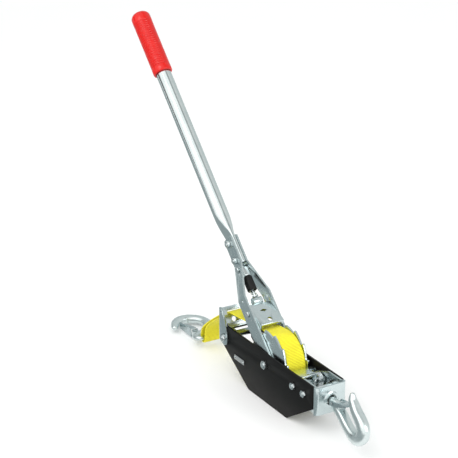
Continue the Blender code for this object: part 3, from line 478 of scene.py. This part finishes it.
def stitching():
    """Rows of lock stitches where the strap's end is sewn back on itself."""
    upper = smooth_path([(-162.4, 15.5), (-182.0, 1.8), (-196.4, -9.4)], 10)
    work = bmesh.new()

    def stitch(a, b):
        along = (b - a).normalized()
        side = Vector((0, 1, 0)).cross(along)
        rings = []
        for share, size in ((0.0, 0.12), (0.25, 0.42), (0.75, 0.42), (1.0, 0.12)):
            centre = a.lerp(b, share)
            rings.append([work.verts.new((centre + (side * math.cos(t) + side.cross(along) * math.sin(t)) * size) * MM
                                         + AXLE) for t in (2 * math.pi * k / 6 for k in range(6))])
        for low, high in zip(rings, rings[1:]):
            for k in range(6):
                work.faces.new((low[k], low[(k + 1) % 6], high[(k + 1) % 6], high[k]))
        work.faces.new(rings[0])
        work.faces.new(rings[-1])

    def spot(share, y, side):
        k = min(len(upper) - 2, int(share * (len(upper) - 1)))
        point = upper[k].lerp(upper[k + 1], share * (len(upper) - 1) - k)
        along = (upper[k + 1] - upper[k]).normalized()
        up = Vector((along.y, -along.x)) * (1.02 if side > 0 else -3.52)
        return Vector((point.x + up.x, y, point.y + up.y))

    count = 12
    for side in (1, -1):
        for y in (-13.4, -9.0, 9.0, 13.4, -3.0, 3.0):
            for k in range(count):
                stitch(spot((k + 0.12) / count, y, side), spot((k + 0.88) / count, y, side))
        for share in (0.02, 0.5, 0.98):
            for k in range(9):
                y = -13.4 + k * 26.8 / 9
                stitch(spot(share, y + 0.3, side), spot(share, y + 2.6, side))
    bmesh.ops.recalc_face_normals(work, faces=work.faces)
    for face in work.faces:
        face.smooth = True
    mesh = bpy.data.meshes.new("loop_stitching")
    work.to_mesh(mesh)
    work.free()
    new_piece("loop_stitching", mesh, THREAD, "strap_tail")


# ---------------------------------------------------------------- grip and spring

def grip():
    """A dipped grip: a smooth cuff, a long ribbed hold and a smooth domed end."""
    start, end, radius = 517.0, 633.6, 16.2
    cuff, cap = start + 12.5, end - 20.0
    profile = [(13.1, start + 0.2), (14.4, start), (15.5, start + 0.5), (16.1, start + 1.8), (16.1, cuff - 1.2),
               (15.6, cuff)]
    rows = int((cap - cuff - 1.0) / RING_PITCH)
    pitch = (cap - cuff - 1.0) / rows
    for k in range(rows):
        t = cuff + 0.5 + k * pitch
        profile += [(14.5, t), (15.6, t + pitch * 0.2), (16.05, t + pitch * 0.5), (15.6, t + pitch * 0.8)]
    profile += [(14.5, cap - 0.5), (radius - 0.3, cap + 0.3), (radius - 0.05, cap + 1.6), (radius, cap + 4.0)]
    for k in range(1, 11):
        a = math.pi / 2 * k / 10
        profile.append((radius - DOME + DOME * math.cos(a), end - DOME_HIGH + DOME_HIGH * math.sin(a)))
    profile.append((0, end))
    profile = [(0, 626.6), (13.1, 626.6), *profile]
    place = Matrix.Translation(AXLE) @ Matrix.Rotation(-LEAN, 4, "Y")
    mesh = turned("ribbed_grip", profile, 64, place)
    new_piece("ribbed_grip", mesh, FINISHES["red_grip"], "lever", ("grip",))


def holding_spring():
    """The torsion spring on the front bolt, in round wire."""
    x0, z0 = 80.0, -0.7
    radius, turns, low, high = 10.5, 4, 9.0, 17.8
    path = [(x0 - 16.5, 14.6, z0 + 3.4), (x0 - 13.7, 15.1, z0 + 4.9), (x0 - 11.0, 15.6, z0 + 6.2)]
    steps = 24 * turns
    for k in range(steps + 1):
        a = math.pi / 2 - 2 * math.pi * k / 24
        path.append((x0 + radius * math.cos(a), high + (low - high) * k / steps, z0 + radius * math.sin(a)))
    path += [(x0 + 12.5, low - 0.6, z0 + radius + 0.6), (x0 + 17.0, 3.0, z0 + radius + 1.6),
             (x0 + 20.5, -2.4, z0 + radius + 1.0), (x0 + 21.5, -3.4, z0 + radius - 1.5),
             (x0 + 21.6, -3.6, z0 + 4.0)]
    path = [AXLE + Vector(p) * MM for p in smooth_path(path, 2)]
    new_piece("wound_spring", wire("wound_spring", path, 1.2 * MM), FINISHES["spring_steel"], "winch_frame",
              ("torsion_spring",))


# ---------------------------------------------------------------- floor, light and camera

SOFT_BOXES = ((-180, 0.45), (-112, 0.40), (-100, 0.12), (-80, 0.12), (-68, 1.0), (34, 1.0), (44, 0.34), (54, 0.34),
              (66, 0.66), (120, 0.55), (180, 0.45))
ROUND_A, ROUND_B = (0.6124, -0.498, 0.614), (0.3516, 0.8671, 0.3526)     # two directions across the lever
WORLD_LEVEL, KEY, FRONT = 1.32, 16, 17

def studio():
    n = Nodes("pale_floor")
    cloud = n.noise(1.2, 3.0)
    n.set(Base_Color=n.ramp(cloud, (0.3, 0.925), (0.7, 0.935)), Roughness=0.85)
    n.shader.inputs["Specular IOR Level"].default_value = 0.1
    n.shader.inputs["Emission Color"].default_value = (1, 1, 1, 1)
    n.shader.inputs["Emission Strength"].default_value = 0.05
    mesh = bpy.data.meshes.new("floor")
    size = 30.0
    mesh.from_pydata([(-size, -size, 0), (size, -size, 0), (size, size, 0), (-size, size, 0)],
                     [], [(0, 1, 2, 3)])
    floor = bpy.data.objects.new("floor", mesh)
    floor.location.z = -0.0004
    floor.data.materials.append(n.material)
    bpy.context.scene.collection.objects.link(floor)

    world = bpy.data.worlds.new("studio")
    bpy.context.scene.world = world
    world.use_nodes = True
    nodes, links = world.node_tree.nodes, world.node_tree.links
    back = nodes["Background"]
    where = nodes.new("ShaderNodeTexCoord")

    def share(axis):
        node = nodes.new("ShaderNodeVectorMath")
        node.operation = "DOT_PRODUCT"
        links.new(where.outputs["Generated"], node.inputs[0])
        node.inputs[1].default_value = axis
        return node.outputs["Value"]

    turn = nodes.new("ShaderNodeMath")      # the angle round the lever, so that the soft boxes run along it
    turn.operation = "ARCTAN2"
    links.new(share(ROUND_B), turn.inputs[0])
    links.new(share(ROUND_A), turn.inputs[1])
    scale = nodes.new("ShaderNodeMapRange")
    links.new(turn.outputs[0], scale.inputs["Value"])
    scale.inputs["From Min"].default_value = -math.pi
    scale.inputs["From Max"].default_value = math.pi
    ramp = nodes.new("ShaderNodeValToRGB")
    marks = ramp.color_ramp.elements
    while len(marks) < len(SOFT_BOXES):
        marks.new(0.5)
    for mark, (degrees, level) in zip(marks, SOFT_BOXES):
        mark.position = (degrees + 180) / 360
        tint = (0.93, 1.0, 1.0) if level < 0.6 else (1.0, 1.0, 0.99)
        mark.color = (*[level * c for c in tint], 1)
    links.new(scale.outputs[0], ramp.inputs[0])
    links.new(ramp.outputs[0], back.inputs["Color"])
    back.inputs["Strength"].default_value = WORLD_LEVEL

    def panel(name, at, aim, size, power, colour=(1, 1, 1)):
        light = bpy.data.lights.new(name, "AREA")
        light.shape = "RECTANGLE"
        light.size, light.size_y = size
        light.energy = power
        light.color = colour
        obj = bpy.data.objects.new(name, light)
        obj.location = at
        obj.rotation_euler = (Vector(aim) - Vector(at)).to_track_quat("-Z", "Y").to_euler()
        bpy.context.scene.collection.objects.link(obj)

    panel("key", (0.5, -1.8, 2.2), (0, 0, 0.1), (1.6, 1.6), KEY)
    panel("front", (2.4, 0.9, 1.2), (0, 0, 0.1), (1.0, 1.6), FRONT)

    def flag(name, low, high, level):
        """A grey card that only reflections see, lying just above the floor."""
        card = bpy.data.meshes.new(name)
        z = 0.0008
        card.from_pydata([(low[0], low[1], z), (high[0], low[1], z),
                          (high[0], high[1], z), (low[0], high[1], z)], [], [(0, 1, 2, 3)])
        paint = Nodes(name)
        glow = (*[level * c for c in (0.88, 1.0, 1.02)], 1)
        paint.set(Base_Color=(0, 0, 0, 1), Roughness=1.0, Emission_Color=glow, Emission_Strength=1.0)
        card.materials.append(paint.material)
        obj = bpy.data.objects.new(name, card)
        bpy.context.scene.collection.objects.link(obj)
        obj.visible_camera = obj.visible_diffuse = obj.visible_shadow = obj.visible_transmission = False

    flag("side_flag", (-3.0, -3.0), (0.6, -0.05), 0.40)


def camera():
    azimuth, elevation = CAMERA_AZIMUTH, CAMERA_ELEVATION
    back = Vector((math.sin(azimuth) * math.cos(elevation), -math.cos(azimuth) * math.cos(elevation),
                   math.sin(elevation)))
    right = Vector((math.cos(azimuth), math.sin(azimuth), 0))
    turn = Matrix((right, back.cross(right), back)).transposed().to_4x4()
    data = bpy.data.cameras.new("camera")
    data.sensor_width = 36.0
    data.lens = CAMERA_LENS
    data.clip_end = 60
    obj = bpy.data.objects.new("camera", data)
    obj.matrix_world = Matrix.Translation(AXLE + CAMERA_AT * MM) @ turn
    bpy.context.scene.collection.objects.link(obj)
    bpy.context.scene.camera = obj


dress_nodes()
wound_strap()
strap()
stitching()
grip()
holding_spring()
studio()
camera()
bpy.context.scene.view_settings.view_transform = "Standard"
